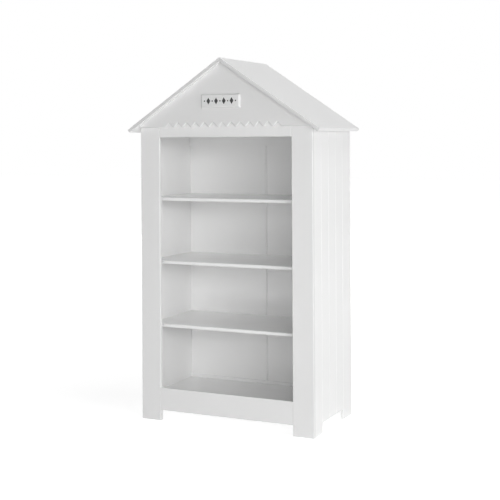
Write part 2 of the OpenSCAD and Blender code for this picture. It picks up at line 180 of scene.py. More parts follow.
# Plated or cast metal: clouded plating with fine tooling marks
def makeMetalGroup():
    tree, given, result = newGroup("metalSkin", "ShaderNodeTree", [
        ("Bright", colourKind, (0.66, 0.66, 0.67, 1.0)),
        ("Dull", colourKind, (0.5, 0.5, 0.5, 1.0)),
        ("Cloud Scale", floatKind, 180.0),
        ("Tooling Scale", floatKind, 2500.0),
        ("Base Roughness", floatKind, 0.3),
        ("Roughness Spread", floatKind, 0.2),
    ], surfaceOutputs)
    place = objectPlace(tree)
    cloud = noiseNode(tree, place, given["Cloud Scale"], detail=3.0, roughness=0.6)
    tooling = noiseNode(tree, place, given["Tooling Scale"], detail=2.0, roughness=0.5)
    tree.links.new(mixColours(tree, cloud, given["Bright"], given["Dull"]), result["Color"])
    spread = multiply(tree, cloud, given["Roughness Spread"])
    tree.links.new(mathNode(tree, "ADD", spread, given["Base Roughness"]), result["Roughness"])
    tree.links.new(tooling, result["Height"])
    return tree


groups = {"paint": makePaintGroup(), "wood": makeWoodGroup(), "metal": makeMetalGroup()}


def makeMaterial(name, group, values, metallic=0.0, bumpDistance=0.000008, bumpStrength=0.35):
    material = bpy.data.materials.new(name)
    material.use_nodes = True
    tree = material.node_tree
    shader = tree.nodes["Principled BSDF"]
    skin = addNode(tree, "ShaderNodeGroup", node_tree=groups[group])
    for label, value in values.items():
        skin.inputs[label].default_value = value
    bump = addNode(tree, "ShaderNodeBump", {
        "Height": skin.outputs["Height"], "Distance": bumpDistance, "Strength": bumpStrength,
    })
    shader.inputs["Metallic"].default_value = metallic
    shader.inputs["IOR"].default_value = 1.5
    tree.links.new(skin.outputs["Color"], shader.inputs["Base Color"])
    tree.links.new(skin.outputs["Roughness"], shader.inputs["Roughness"])
    tree.links.new(bump.outputs["Normal"], shader.inputs["Normal"])
    return material


def grey(level, warmth=0.0):
    return (level, level, level - warmth, 1.0)


framePaint = makeMaterial("framePaint", "paint", {
    "Paint": grey(0.86), "Drift Paint": grey(0.84, 0.004), "Drift Scale": 3.5,
})
# The gable board and plaque take a darker copy of the frame's paint: painted shade from the roof's
# overhang
shadedGablePaint = makeMaterial("shadedGablePaint", "paint", {
    "Paint": grey(0.8), "Drift Paint": grey(0.78, 0.004), "Drift Scale": 3.5,
})
# The panels take a paler copy of the frame's paint: painted light that lifts the shaded inside of
# the case
brightenedPanelPaint = makeMaterial("brightenedPanelPaint", "paint", {
    "Paint": grey(0.95), "Drift Paint": grey(0.935, 0.004), "Drift Scale": 2.6,
    "Peel Scale": 220.0,
})
# The roof boards' ends take a darker paint than their faces: painted shade on the front and rear
# ends
roofPaint = makeMaterial("roofPaint", "paint", {
    "Paint": grey(0.88), "Drift Paint": grey(0.865, 0.004), "Drift Scale": 3.0,
    "Sheen Roughness": 0.3, "Shaded End Paint": grey(0.735, 0.002),
}, bumpDistance=0.000001)
motifPaint = makeMaterial("motifPaint", "paint", {
    "Paint": grey(0.03), "Drift Paint": grey(0.045), "Drift Scale": 60.0,
    "Sheen Roughness": 0.5,
})
rawWood = makeMaterial("rawWood", "wood", {}, bumpDistance=0.0001, bumpStrength=1.0)
castZinc = makeMaterial("castZinc", "metal", {
    "Bright": grey(0.55), "Dull": grey(0.42), "Base Roughness": 0.38,
}, metallic=1.0, bumpDistance=0.00002)
platedSteel = makeMaterial("platedSteel", "metal", {
    "Bright": grey(0.68, 0.01), "Dull": grey(0.55, 0.02), "Base Roughness": 0.24,
}, metallic=1.0, bumpDistance=0.00001)
slotMaterials = {
    "frame_paint": framePaint, "panel_paint": brightenedPanelPaint, "roof_paint": roofPaint,
    "motif_paint": motifPaint, "raw_wood": rawWood, "zinc": castZinc, "steel": platedSteel,
}
slotOf = {part["node"]: part["material_slot"] for part in frame["record"]["subparts"]}
for nodeName, nodeObject in frame["nodes"].items():
    nodeObject.data.materials.clear()
    nodeObject.data.materials.append(slotMaterials[slotOf[nodeName]])
print("materials made:", len(bpy.data.materials))

softening = {
    "weld": 0.00001,       # merges the loose corners of a copied node
    "flatAngle": 0.3,      # degrees between faces that count as one plane
    "sharpAngle": 32.0,    # edges sharper than this are softened
    "shortest": 0.012,     # shorter edges, such as those round a hole, stay as they are
    "steps": 2,
    "planeWeld": 1e-7,     # how near a cutting plane a corner is taken to lie on it
    "alongAxis": 0.9,      # a direction's share on an axis, past which it counts as along it
}


def linkMesh(name, mesh):
    made = bpy.data.objects.new(name, mesh)
    scene.collection.objects.link(made)
    return made


def mergeFaces(work):
    bmesh.ops.remove_doubles(work, verts=work.verts, dist=softening["weld"])
    bmesh.ops.dissolve_limit(work, angle_limit=math.radians(softening["flatAngle"]),
                             verts=work.verts, edges=work.edges)


def cleanCopy(node):
    work = bmesh.new()
    work.from_mesh(frame["nodes"][node].data)
    mergeFaces(work)
    return work


def liesAlong(share):
    return abs(share) > softening["alongAxis"]


def liesInJoint(edge, joint):
    if joint is None:
        return False
    axis, level = joint
    return all(abs(vert.co[axis] - level) < softening["weld"] for vert in edge.verts)


# Rounds the long sharp edges a little, as sanding and paint do, and marks them for the paint. A
# joint is an axis and where its plane lies; edges there get a width of their own, or none
def softenEdges(work, width, joint=None, jointWidth=0.0):
    sharp = math.radians(softening["sharpAngle"])
    arris = work.faces.layers.float.new("arris")
    for size, atJoint in ((width, False), (jointWidth, True)):
        edges = [e for e in work.edges if e.is_manifold and e.calc_length() > softening["shortest"]
                 and e.calc_face_angle() > sharp and liesInJoint(e, joint) == atJoint]
        if not edges or not size:
            continue
        result = bmesh.ops.bevel(
            work, geom=edges, offset=size, offset_type="OFFSET", affect="EDGES",
            segments=softening["steps"], profile=0.5, clamp_overlap=False)
        for face in result["faces"]:
            face[arris] = 1.0


# Marks the faces that look along Y, where the boards were sawn off, so that they take a darker
# paint as painted shade
def markShadedEnds(work):
    boardEnd = work.faces.layers.float.new("boardEnd")
    for face in work.faces:
        face[boardEnd] = 1.0 if liesAlong(face.normal.y) else 0.0


def bakeModifiers(piece):
    graph = bpy.context.evaluated_depsgraph_get()
    mesh = bpy.data.meshes.new_from_object(
        piece.evaluated_get(graph), preserve_all_data_layers=True, depsgraph=graph)
    piece.modifiers.clear()
    old = piece.data
    piece.data = mesh
    bpy.data.meshes.remove(old)
    return piece


def finishPiece(piece, *nodes, material=None, slot=None):
    slot = slot or slotOf[nodes[0]]
    piece.data.materials.clear()
    piece.data.materials.append(material or slotMaterials[slot])
    for face in piece.data.polygons:
        face.use_smooth = True
    piece.data.set_sharp_from_angle(angle=math.radians(softening["sharpAngle"]))
    weighted = piece.modifiers.new("weighted", "WEIGHTED_NORMAL")
    weighted.keep_sharp = True
    weighted.weight = 100     # wide faces keep their flat shading
    bakeModifiers(piece)
    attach(piece, body)
    if nodes:
        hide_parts(*nodes)


def pieceFrom(work, name):
    mesh = bpy.data.meshes.new(name)
    work.to_mesh(mesh)
    work.free()
    return linkMesh(name, mesh)


# Boards that keep the outline of their nodes
boardPlan = {
    "arris": 0.0009,
    "frontArris": 0.0015,
    "frontBoards": ("left_post", "right_post", "lintel", "plinth_rail"),
    "flushBacks": ("left_post", "right_post"),   # tight against the side panels
    # roof boards whose ends take the darker paint of painted shade
    "shadedEndBoards": ("left_roof_board", "right_roof_board"),
    "seamArris": 0.0002,
    "seamPanels": ("left_back_panel", "right_back_panel"),
    "finishes": {"gable_plaque": shadedGablePaint},    # where it isn't the one of the slot; the plaque takes the gable's darker paint, painted shade
    "pieces": {
        "left_post": "leftPost", "right_post": "rightPost", "lintel": "lintelBoard",
        "plinth_rail": "plinthRail", "left_roof_board": "leftRoofBoard",
        "right_roof_board": "rightRoofBoard", "rear_gable": "rearGable", "top_panel": "topPanel",
        "bottom_panel": "bottomPanel", "lower_shelf": "lowerShelf", "middle_shelf": "middleShelf",
        "upper_shelf": "upperShelf", "left_back_panel": "leftBackPanel",
        "right_back_panel": "rightBackPanel", "back_rail": "backRail",
        "bottom_batten": "bottomBatten", "gable_plaque": "plaquePlate",
        "front_left_cleat": "frontLeftCleat", "front_right_cleat": "frontRightCleat",
        "rear_left_cleat": "rearLeftCleat", "rear_right_cleat": "rearRightCleat",
    },
}
for nodeName, pieceName in boardPlan["pieces"].items():
    work = cleanCopy(nodeName)
    width = boardPlan["frontArris"] if nodeName in boardPlan["frontBoards"] else boardPlan["arris"]
    if nodeName in boardPlan["seamPanels"]:
        softenEdges(work, width, (0, 0.0), boardPlan["seamArris"])
    elif nodeName in boardPlan["flushBacks"]:
        softenEdges(work, width, (1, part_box(nodeName)[1].y))
    else:
        softenEdges(work, width)
    if nodeName in boardPlan["shadedEndBoards"]:
        markShadedEnds(work)
    finishPiece(pieceFrom(work, pieceName), nodeName, material=boardPlan["finishes"].get(nodeName))
print("boards softened:", len(boardPlan["pieces"]))


# Ways to shape, move, repeat and cut in a Geometry Nodes tree
def onAxes(tree, values):
    return addNode(tree, "ShaderNodeCombineXYZ", values).outputs[0]


def makeRod(tree, sides, radius, depth, rings=1):
    return addNode(tree, "GeometryNodeMeshCylinder", {
        "Vertices": sides, "Side Segments": rings, "Radius": radius, "Depth": depth,
    }).outputs["Mesh"]


def makeTaper(tree, sides, lowRadius, highRadius, depth):
    return addNode(tree, "GeometryNodeMeshCone", {
        "Vertices": sides, "Radius Bottom": lowRadius, "Radius Top": highRadius, "Depth": depth,
    }).outputs["Mesh"]


def makeRow(tree, count, start, step):
    return addNode(tree, "GeometryNodeMeshLine", {
        "Count": count, "Start Location": start, "Offset": step,
    }, mode="OFFSET").outputs["Mesh"]


def oddOnes(tree):
    index = addNode(tree, "GeometryNodeInputIndex").outputs[0]
    return mathNode(tree, "MODULO", index, 2.0)


def moveShape(tree, shape, place=(0.0, 0.0, 0.0), turn=(0.0, 0.0, 0.0), scale=(1.0, 1.0, 1.0)):
    inputs = {"Geometry": shape, "Translation": place, "Rotation": turn, "Scale": scale}
    return addNode(tree, "GeometryNodeTransform", inputs).outputs["Geometry"]


def makeReal(tree, shape):
    return addNode(tree, "GeometryNodeRealizeInstances", {"Geometry": shape}).outputs["Geometry"]


def repeatShape(tree, points, shape, turn=None, scale=None):
    inputs = {"Points": points, "Instance": shape, "Rotation": turn, "Scale": scale}
    inputs = {label: value for label, value in inputs.items() if value is not None}
    instances = addNode(tree, "GeometryNodeInstanceOnPoints", inputs).outputs["Instances"]
    return makeReal(tree, instances)


def crossSlots(tree, size):
    slot = addNode(tree, "GeometryNodeMeshCube", {"Size": size}).outputs["Mesh"]
    return slot, moveShape(tree, slot, turn=(0.0, 0.0, math.pi / 2))


def cutShape(tree, shape, *cutters):
    return addNode(tree, "GeometryNodeMeshBoolean", {"Mesh 1": shape, "Mesh 2": list(cutters)},
                   operation="DIFFERENCE", solver="MANIFOLD").outputs["Mesh"]


def uniteShapes(tree, *shapes):
    return addNode(tree, "GeometryNodeMeshBoolean", {"Mesh 2": list(shapes)},
                   operation="UNION", solver="MANIFOLD").outputs["Mesh"]


def readAttribute(tree, name, kind):
    return addNode(tree, "GeometryNodeInputNamedAttribute", {"Name": name},
                   data_type=kind).outputs[0]


def finishTree(tree, shape, given, result):
    painted = addNode(tree, "GeometryNodeSetMaterial", {
        "Geometry": makeReal(tree, shape), "Material": given["Finish"],
    })
    tree.links.new(painted.outputs["Geometry"], result[0])


def runTree(tree, name, base, values):
    piece = linkMesh(name, base)
    live = piece.modifiers.new(tree.name, "NODES")
    live.node_group = tree
    sockets = {item.name: item.identifier for item in tree.interface.items_tree
               if item.item_type == "SOCKET" and item.in_out == "INPUT"}
    for label, value in values.items():
        live[sockets[label]] = value
    return bakeModifiers(piece)


# Cuts a row of four-sided prisms out of a board and drills a round hole at each given place. Flared
# cuts widen towards the front, every second one in a pass of its own, as neighbours may overlap
def makeBoardTree():
    tree, given, result = newGroup("workedBoard", "GeometryNodeTree", [
        ("Blank", geometryKind, None),
        ("Cut Count", countKind, 4),
        ("First Cut", vectorKind, None),
        ("Cut Step", vectorKind, None),
        ("Cut Half Size", vectorKind, None),
        ("Cut Turn", vectorKind, None),
        ("Cut Length", floatKind, 1.0),
        ("Flared", boolKind, False),
        ("Flare Start", vectorKind, None),
        ("Flare Depth", floatKind, 0.005),
        ("Flare Spread", floatKind, 1.2),
        ("Hole Places", objectKind, None),
        ("Hole Sides", countKind, 16),
        ("Finish", materialKind, None),
    ], [("Board", geometryKind)])
    row = makeRow(tree, given["Cut Count"], given["First Cut"], given["Cut Step"])
    prism = makeRod(tree, 4, 1.0, given["Cut Length"])
    prism = moveShape(tree, prism, scale=given["Cut Half Size"])
    cuts = repeatShape(tree, row, moveShape(tree, prism, turn=given["Cut Turn"]))

    flare = makeTaper(tree, 4, 1.0, given["Flare Spread"], given["Flare Depth"])
    flare = moveShape(tree, flare, scale=given["Cut Half Size"])
    flare = moveShape(tree, flare, place=given["Flare Start"], turn=given["Cut Turn"])
    odd = oddOnes(tree)
    flares = []
    for parity in (0.0, 1.0):
        chosen = multiply(tree, given["Flared"], mathNode(tree, "COMPARE", odd, parity))
        picked = addNode(tree, "GeometryNodeSeparateGeometry", {
            "Geometry": row, "Selection": chosen,
        })
        flares.append(repeatShape(tree, picked.outputs[0], flare))

    drill = makeRod(tree, given["Hole Sides"], 1.0, 1.0)
    drill = moveShape(tree, drill, place=(0.0, 0.0, 0.5))     # starts at its place
    places = addNode(tree, "GeometryNodeObjectInfo", {"Object": given["Hole Places"]})
    holes = repeatShape(tree, places.outputs["Geometry"], drill,
                        turn=readAttribute(tree, "turn", "QUATERNION"),
                        scale=readAttribute(tree, "size", "FLOAT_VECTOR"))
    board = cutShape(tree, given["Blank"], cuts, holes, *flares)
    finishTree(tree, board, given, result)
    return tree


# The separate solids of a node: centre of the widest flat face, the way in from it, and the length
def placesOf(node):
    work = cleanCopy(node)
    work.verts.ensure_lookup_table()
    places, seen = [], set()
    for first in work.verts:
        if first.index in seen:
            continue
        seen.add(first.index)
        group, border = [], [first]
        while border:
            vert = border.pop()
            group.append(vert)
            for edge in vert.link_edges:
                other = edge.other_vert(vert)
                if other.index not in seen:
                    seen.add(other.index)
                    border.append(other)
        faces = {face for vert in group for face in vert.link_faces}
        faces = sorted(faces, key=lambda face: face.index)
        widest = max(faces, key=lambda face: round(face.calc_area(), 9))
        centre, inward = widest.calc_center_median(), -widest.normal
        length = max((vert.co - centre).dot(inward) for vert in group)
        places.append((centre.copy(), inward.copy(), length))
    work.free()
    return places


# Local Z goes the way in, and local X as near to across as it can
def turnTo(inward, across):
    zAxis = inward.normalized()
    xAxis = (across - across.dot(zAxis) * zAxis).normalized()
    return Matrix((xAxis, zAxis.cross(xAxis), zAxis)).transposed().to_quaternion()


def placeMesh(name, places, acrossOf, sizes=None):
    mesh = bpy.data.meshes.new(name)
    mesh.from_pydata([place[0] for place in places], [], [])
    turns = mesh.attributes.new("turn", "QUATERNION", "POINT")
    for point, place in zip(turns.data, places):
        point.value = turnTo(place[1], acrossOf(place[0], place[1]))
    if sizes:
        spans = mesh.attributes.new("size", "FLOAT_VECTOR", "POINT")
        for point, size in zip(spans.data, sizes):
            point.vector = size
    return mesh


def anyAcross(centre, inward):
    return Vector((1.0, 0.0, 0.0)) if liesAlong(inward.y) else Vector((0.0, 1.0, 0.0))


# Outline carried straight along one axis, as a closed board
def boardBlank(outline, reach):
    work = bmesh.new()
    face = work.faces.new([work.verts.new(point) for point in outline])
    extruded = bmesh.ops.extrude_face_region(work, geom=[face])["geom"]
    moved = [part for part in extruded if isinstance(part, bmesh.types.BMVert)]
    bmesh.ops.translate(work, vec=reach, verts=moved)
    bmesh.ops.recalc_face_normals(work, faces=work.faces)
    return work


def trimBoard(work, point, outward):
    geometry = work.verts[:] + work.edges[:] + work.faces[:]
    bmesh.ops.bisect_plane(work, geom=geometry, dist=softening["planeWeld"], plane_co=point,
                           plane_no=outward, clear_outer=True)
    bmesh.ops.holes_fill(work, edges=[edge for edge in work.edges if edge.is_boundary])
    bmesh.ops.recalc_face_normals(work, faces=work.faces)


# A hole is its centre, the way in, its width and its depth
def workBoard(tree, work, name, values, holes, arris, joint=None):
    blank = bpy.data.meshes.new(name)
    work.to_mesh(blank)
    work.free()
    sizes = [(width / 2, width / 2, depth) for centre, inward, width, depth in holes]
    drills = linkMesh(name + "Holes", placeMesh(name + "Holes", holes, anyAcross, sizes))
    piece = runTree(tree, name, blank, {**values, "Hole Places": drills})
    bpy.data.objects.remove(drills)
    work = bmesh.new()
    work.from_mesh(piece.data)
    mergeFaces(work)
    softenEdges(work, arris, joint)
    work.to_mesh(piece.data)
    work.free()
    return piece


boardTree = makeBoardTree()
fittings = {node: placesOf(node) for node in (
    "gable_screws", "plaque_screws", "cleat_screws", "back_screws", "cam_locks", "cam_bolts",
    "frame_dowels", "panel_dowels")}
cutting = {
    "play": 0.0002,     # round each fitting in its hole
    "bite": 0.001,      # how much deeper and further out a hole is drilled
    "past": 0.1,        # the prisms stand this share of their depth past the face
    "sink": 0.0035,     # depth of the wide part for a screw's head
    "screw": 0.0035, "head": 0.0075, "bolt": 0.005, "dowel": 0.008,     # widths of what goes in
}

gablePlan = {
    "notches": 13, "pitch": 0.0472, "width": 0.041, "height": 0.0205,
    "bevel": 0.004,         # along the lower front edge and the notches
    "arris": 0.0007,
    "cutLength": 4.0,       # of the prisms, in thicknesses of the board
    "screwReach": 0.03,     # screws that start further behind belong to other boards
}


# Triangular board with a row of pointed notches along its bevelled lower edge
def makeGableBoard(plan):
    low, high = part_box("gable_board")
    front, back = low.y, high.y
    outline = [(low.x, front, low.z), (high.x, front, low.z), (0.0, front, high.z)]
    work = boardBlank(outline, (0.0, back - front, 0.0))
    trimBoard(work, (0.0, front, low.z + plan["bevel"]), (0.0, -1.0, -1.0))
    past = cutting["past"]
    half = plan["pitch"] * (plan["notches"] - 1) / 2
    across, tall = plan["width"] / 2 * (1 + past), plan["height"] * (1 + past)
    flareDepth = plan["bevel"] * (1 + past)
    values = {
        "Cut Count": plan["notches"], "Cut Length": plan["cutLength"] * (back - front),
        "First Cut": (-half, (front + back) / 2, low.z - plan["height"] * past),
        "Cut Step": (plan["pitch"], 0.0, 0.0), "Cut Half Size": (across, tall, 1.0),
        # the gable's darker paint is painted shade
        "Cut Turn": (math.pi / 2, 0.0, 0.0), "Finish": shadedGablePaint,
        "Flared": True, "Flare Depth": flareDepth,
        "Flare Start": (0.0, front + plan["bevel"] - (front + back) / 2, 0.0),
        "Flare Spread": 1 + flareDepth * math.hypot(across, tall) / (across * tall),
    }
    holes = []
    for node in ("gable_screws", "cleat_screws", "plaque_screws"):
        for centre, inward, length in fittings[node]:
            if not liesAlong(inward.y) or inward.y > 0.0 or centre.y > back + plan["screwReach"]:
                continue
            width, bite = cutting["screw"] + cutting["play"], cutting["bite"]
            holes.append((centre, inward, width, length + bite))
            if node == "plaque_screws":
                rim = centre - inward * bite
                holes.append((rim, inward, cutting["head"], cutting["sink"] + bite))
    piece = workBoard(boardTree, work, "pointedBoard", values, holes, plan["arris"])
    finishPiece(piece, "gable_board", material=shadedGablePaint)


makeGableBoard(gablePlan)

sidePlan = {
    "grooves": 4, "firstGroove": 0.086, "pitch": 0.0915,     # first one from the panel's front edge
    "width": 0.004, "depth": 0.002, "cutLength": 4.0,        # longer than any panel
    "legHeight": 0.048, "frontLeg": 0.09, "rearLeg": 0.115,
    "fillet": 0.006, "filletSteps": 8,
    "roofAngle": 33.75,                                      # degrees, of the slope along the top
    "arris": 0.0007,
}


# Side panel on two legs with upright grooves outside; side is 1 for the right and -1 for the left
def makeSidePanel(plan, node, name, side):
    low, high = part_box(node)
    inner, outer = (low.x, high.x) if side > 0 else (high.x, low.x)
    gapFront, gapRear = low.y + plan["frontLeg"], high.y - plan["rearLeg"]
    tall = high.z + abs(outer - inner)
    outline = [(low.y, 0.0), (low.y, tall), (high.y, tall), (high.y, 0.0), (gapRear, 0.0)]
    radius, gapTop = plan["fillet"], plan["legHeight"]
    for centre, start in ((gapRear - radius, 0.0), (gapFront + radius, 90.0)):
        for step in range(plan["filletSteps"] + 1):
            turn = math.radians(start + 90.0 * step / plan["filletSteps"])
            rise = gapTop - radius + radius * math.sin(turn)
            outline.append((centre + radius * math.cos(turn), rise))
    outline.append((gapFront, 0.0))
    work = boardBlank([(inner, y, z) for y, z in outline], (outer - inner, 0.0, 0.0))
    angle = math.radians(plan["roofAngle"])
    trimBoard(work, (inner, 0.0, high.z), (side * math.sin(angle), 0.0, math.cos(angle)))
    past = cutting["past"]
    values = {
        "Cut Count": plan["grooves"], "Cut Length": plan["cutLength"],
        "First Cut": (outer + side * plan["depth"] * past, low.y + plan["firstGroove"], tall / 2),
        "Cut Step": (0.0, plan["pitch"], 0.0),
        "Cut Half Size": (plan["depth"] * (1 + past), plan["width"] / 2 * (1 + past), 1.0),
        "Cut Turn": (0.0, 0.0, 0.0), "Finish": brightenedPanelPaint,
    }
    play, bite = cutting["play"], cutting["bite"]
    holes = []
    for centre, inward, length in fittings["panel_dowels"]:
        if liesAlong(inward.y) and centre.x * side > 0.0:
            deep = max(centre.y, centre.y + inward.y * length) + bite
            rim = Vector((centre.x, low.y - bite, centre.z))
            depth = deep - low.y + bite
            holes.append((rim, Vector((0.0, 1.0, 0.0)), cutting["dowel"] + play, depth))
    for centre, inward, length in fittings["cam_bolts"]:
        if centre.x * side > 0.0:
            deep = max(centre.x * side, (centre.x + inward.x * length) * side) + bite
            rim = Vector((inner - side * bite, centre.y, centre.z))
            depth = deep - inner * side + bite
            holes.append((rim, Vector((side, 0.0, 0.0)), cutting["bolt"] + play, depth))
    piece = workBoard(boardTree, work, name, values, holes, plan["arris"], (1, low.y))
    finishPiece(piece, node)


makeSidePanel(sidePlan, "left_side_panel", "leftSidePanel", -1)
makeSidePanel(sidePlan, "right_side_panel", "rightSidePanel", 1)
print("worked boards made")


# Countersunk wood screw with a cross recess and a cut thread; local Z runs into the wood
def makeScrewTree():
    tree, given, result = newGroup("countersunkScrew", "GeometryNodeTree", [
        ("Places", geometryKind, None),
        ("Length", floatKind, 0.028),
        ("Head Width", floatKind, 0.007),
        ("Head Depth", floatKind, 0.0035),
        ("Head Sides", countKind, 24),
        ("Shank Width", floatKind, 0.0035),
        ("Core Width", floatKind, 0.0024),
        ("Core Sides", countKind, 12),
        ("Core Start", floatKind, 0.0005),      # below the face of the head
        ("Tip Length", floatKind, 0.004),
        ("Tip Share", floatKind, 0.98),         # of the core's width, where the tip begins
        ("Point Radius", floatKind, 0.0001),
        ("Thread Pitch", floatKind, 0.0016),
        ("Recess Width", floatKind, 0.0042),
        ("Recess Depth", floatKind, 0.0018),
        ("Recess Share", floatKind, 0.22),      # width of a slot in its length
        ("Turn Seed", countKind, 7),
        ("Finish", materialKind, None),
    ], [("Screws", geometryKind)])
    headRadius, shankRadius, coreRadius = [
        multiply(tree, given[label], 0.5) for label in ("Head Width", "Shank Width", "Core Width")]
    head = makeTaper(tree, given["Head Sides"], headRadius, shankRadius, given["Head Depth"])
    coreLength = mathNode(tree, "SUBTRACT", given["Length"], given["Tip Length"])
    core = makeRod(tree, given["Core Sides"], coreRadius, coreLength)
    middle = mathNode(tree, "MULTIPLY_ADD", coreLength, 0.5, given["Core Start"])
    core = moveShape(tree, core, place=onAxes(tree, {2: middle}))
    tipRadius = multiply(tree, coreRadius, given["Tip Share"])
    tip = makeTaper(tree, given["Core Sides"], tipRadius, given["Point Radius"],
                    given["Tip Length"])
    tip = moveShape(tree, tip, place=onAxes(tree, {2: coreLength}))

    threadLength = mathNode(tree, "SUBTRACT", coreLength, given["Head Depth"])
    rounds = mathNode(tree, "DIVIDE", threadLength, given["Thread Pitch"])
    spiral = addNode(tree, "GeometryNodeCurveSpiral", {
        "Resolution": given["Core Sides"], "Rotations": rounds,
        "Start Radius": coreRadius, "End Radius": coreRadius, "Height": threadLength,
    }).outputs["Curve"]
    ridge = addNode(tree, "GeometryNodeCurvePrimitiveCircle", {
        "Resolution": 3, "Radius": mathNode(tree, "SUBTRACT", shankRadius, coreRadius),
    }).outputs["Curve"]
    thread = addNode(tree, "GeometryNodeCurveToMesh", {
        "Curve": spiral, "Profile Curve": ridge, "Fill Caps": True,
    }).outputs["Mesh"]
    thread = moveShape(tree, thread, place=onAxes(tree, {2: given["Head Depth"]}))

    slotSize = onAxes(tree, {
        0: given["Recess Width"], 1: multiply(tree, given["Recess Width"], given["Recess Share"]),
        2: multiply(tree, given["Recess Depth"], 2.0),
    })
    slots = crossSlots(tree, slotSize)
    screw = cutShape(tree, uniteShapes(tree, head, core, tip, thread), *slots)

    angle = addNode(tree, "FunctionNodeRandomValue", {3: 2 * math.pi, "Seed": given["Turn Seed"]},
                    data_type="FLOAT").outputs[1]
    spin = addNode(tree, "FunctionNodeAxisAngleToRotation", {"Angle": angle}).outputs[0]
    facing = addNode(tree, "FunctionNodeRotateRotation", {
        "Rotation": readAttribute(tree, "turn", "QUATERNION"), "Rotate By": spin,
    }, rotation_space="LOCAL").outputs[0]
    finishTree(tree, repeatShape(tree, given["Places"], screw, turn=facing), given, result)
    return tree


# Cam lock: a drum with a cross slot and an arrow on its open face, hollow on the side of its bolt
def makeCamTree():
    tree, given, result = newGroup("camLock", "GeometryNodeTree", [
        ("Places", geometryKind, None),
        ("Width", floatKind, 0.015),
        ("Sides", countKind, 32),
        ("Depth", floatKind, 0.0125),
        ("Drum Share", floatKind, 0.95),       # this and the next two are shares of the radius
        ("Hollow Place", floatKind, 0.55),
        ("Arrow Place", floatKind, 0.74),
        ("Rim Depth", floatKind, 0.0012),
        ("Slot Size", vectorKind, None),
        ("Hollow Width", floatKind, 0.0074),
        ("Hollow Sides", countKind, 16),
        ("Bolt Depth", floatKind, 0.0079),
        ("Arrow Size", floatKind, 0.0014),
        ("Finish", materialKind, None),
    ], [("Locks", geometryKind)])
    radius = multiply(tree, given["Width"], 0.5)
    drumRadius = multiply(tree, radius, given["Drum Share"])
    drum = makeRod(tree, given["Sides"], drumRadius, given["Depth"])
    drum = moveShape(tree, drum, place=onAxes(tree, {2: multiply(tree, given["Depth"], 0.5)}))
    rim = makeRod(tree, given["Sides"], radius, given["Rim Depth"])
    rim = moveShape(tree, rim, place=onAxes(tree, {2: multiply(tree, given["Rim Depth"], 0.5)}))
    hollowRadius = multiply(tree, given["Hollow Width"], 0.5)
    hollow = makeRod(tree, given["Hollow Sides"], hollowRadius, given["Width"])
    hollow = moveShape(tree, hollow, turn=(0.0, math.pi / 2, 0.0))
    hollowPlace = {0: multiply(tree, radius, given["Hollow Place"]), 2: given["Bolt Depth"]}
    hollow = moveShape(tree, hollow, place=onAxes(tree, hollowPlace))
    arrow = makeRod(tree, 3, given["Arrow Size"], given["Arrow Size"])
    arrowPlace = {0: multiply(tree, radius, given["Arrow Place"])}
    arrow = moveShape(tree, arrow, place=onAxes(tree, arrowPlace))
    slots = crossSlots(tree, given["Slot Size"])
    lock = cutShape(tree, uniteShapes(tree, drum, rim), *slots, hollow, arrow)
    turn = readAttribute(tree, "turn", "QUATERNION")
    finishTree(tree, repeatShape(tree, given["Places"], lock, turn=turn), given, result)
    return tree


# Fluted dowel with bevelled ends: every second corner of its sides is drawn in
def makeDowelTree():
    tree, given, result = newGroup("flutedDowel", "GeometryNodeTree", [
        ("Places", geometryKind, None),
        ("Width", floatKind, 0.008),
        ("Length", floatKind, 0.03),
        ("Corners", countKind, 36),
        ("Flute Depth", floatKind, 0.07),     # share of the radius
        ("End Bevel", floatKind, 0.001),
        ("End Draw", floatKind, 0.18),        # share of the radius
        ("End From", floatKind, 0.6),         # share of the half length
        ("Finish", materialKind, None),
    ], [("Dowels", geometryKind)])
    radius = multiply(tree, given["Width"], 0.5)
    rod = makeRod(tree, given["Corners"], radius, given["Length"], rings=3)
    place = addNode(tree, "GeometryNodeInputPosition").outputs[0]
    x, y, z = addNode(tree, "ShaderNodeSeparateXYZ", {0: place}).outputs
    half = multiply(tree, given["Length"], 0.5)
    atEnd = mathNode(tree, "GREATER_THAN", mathNode(tree, "ABSOLUTE", z),
                     multiply(tree, half, given["End From"]))
    inside = mathNode(tree, "SUBTRACT", 1.0, atEnd)
    level = mathNode(tree, "SUBTRACT", half, multiply(tree, inside, given["End Bevel"]))
    height = multiply(tree, mathNode(tree, "SIGN", z), level)
    flute = mathNode(tree, "SUBTRACT", 1.0, multiply(tree, oddOnes(tree), given["Flute Depth"]))
    bevel = mathNode(tree, "SUBTRACT", 1.0, multiply(tree, atEnd, given["End Draw"]))
    draw = multiply(tree, flute, bevel)
    shaped = onAxes(tree, {0: multiply(tree, x, draw), 1: multiply(tree, y, draw), 2: height})
    dowel = addNode(tree, "GeometryNodeSetPosition", {
        "Geometry": rod, "Position": shaped,
    }).outputs[0]
    turn = readAttribute(tree, "turn", "QUATERNION")
    finishTree(tree, repeatShape(tree, given["Places"], dowel, turn=turn), given, result)
    return tree


# Runs a tree once for each length of fitting in a node and joins what it makes
def makeFittings(tree, name, node, values, places, acrossOf=anyAcross, sized=True):
    sameLength = {}
    for place in places:
        sameLength.setdefault(round(place[2], 4), []).append(place)     # to 0.1 mm
    work = bmesh.new()
    for length in sorted(sameLength):
        base = placeMesh(name + "Places", sameLength[length], acrossOf)
        settings = {**values, "Length": length} if sized else values
        part = runTree(tree, name + "Part", base, settings)
        work.from_mesh(part.data)
        made = part.data
        bpy.data.objects.remove(part)
        bpy.data.meshes.remove(made)
    finishPiece(pieceFrom(work, name), node, material=values["Finish"])


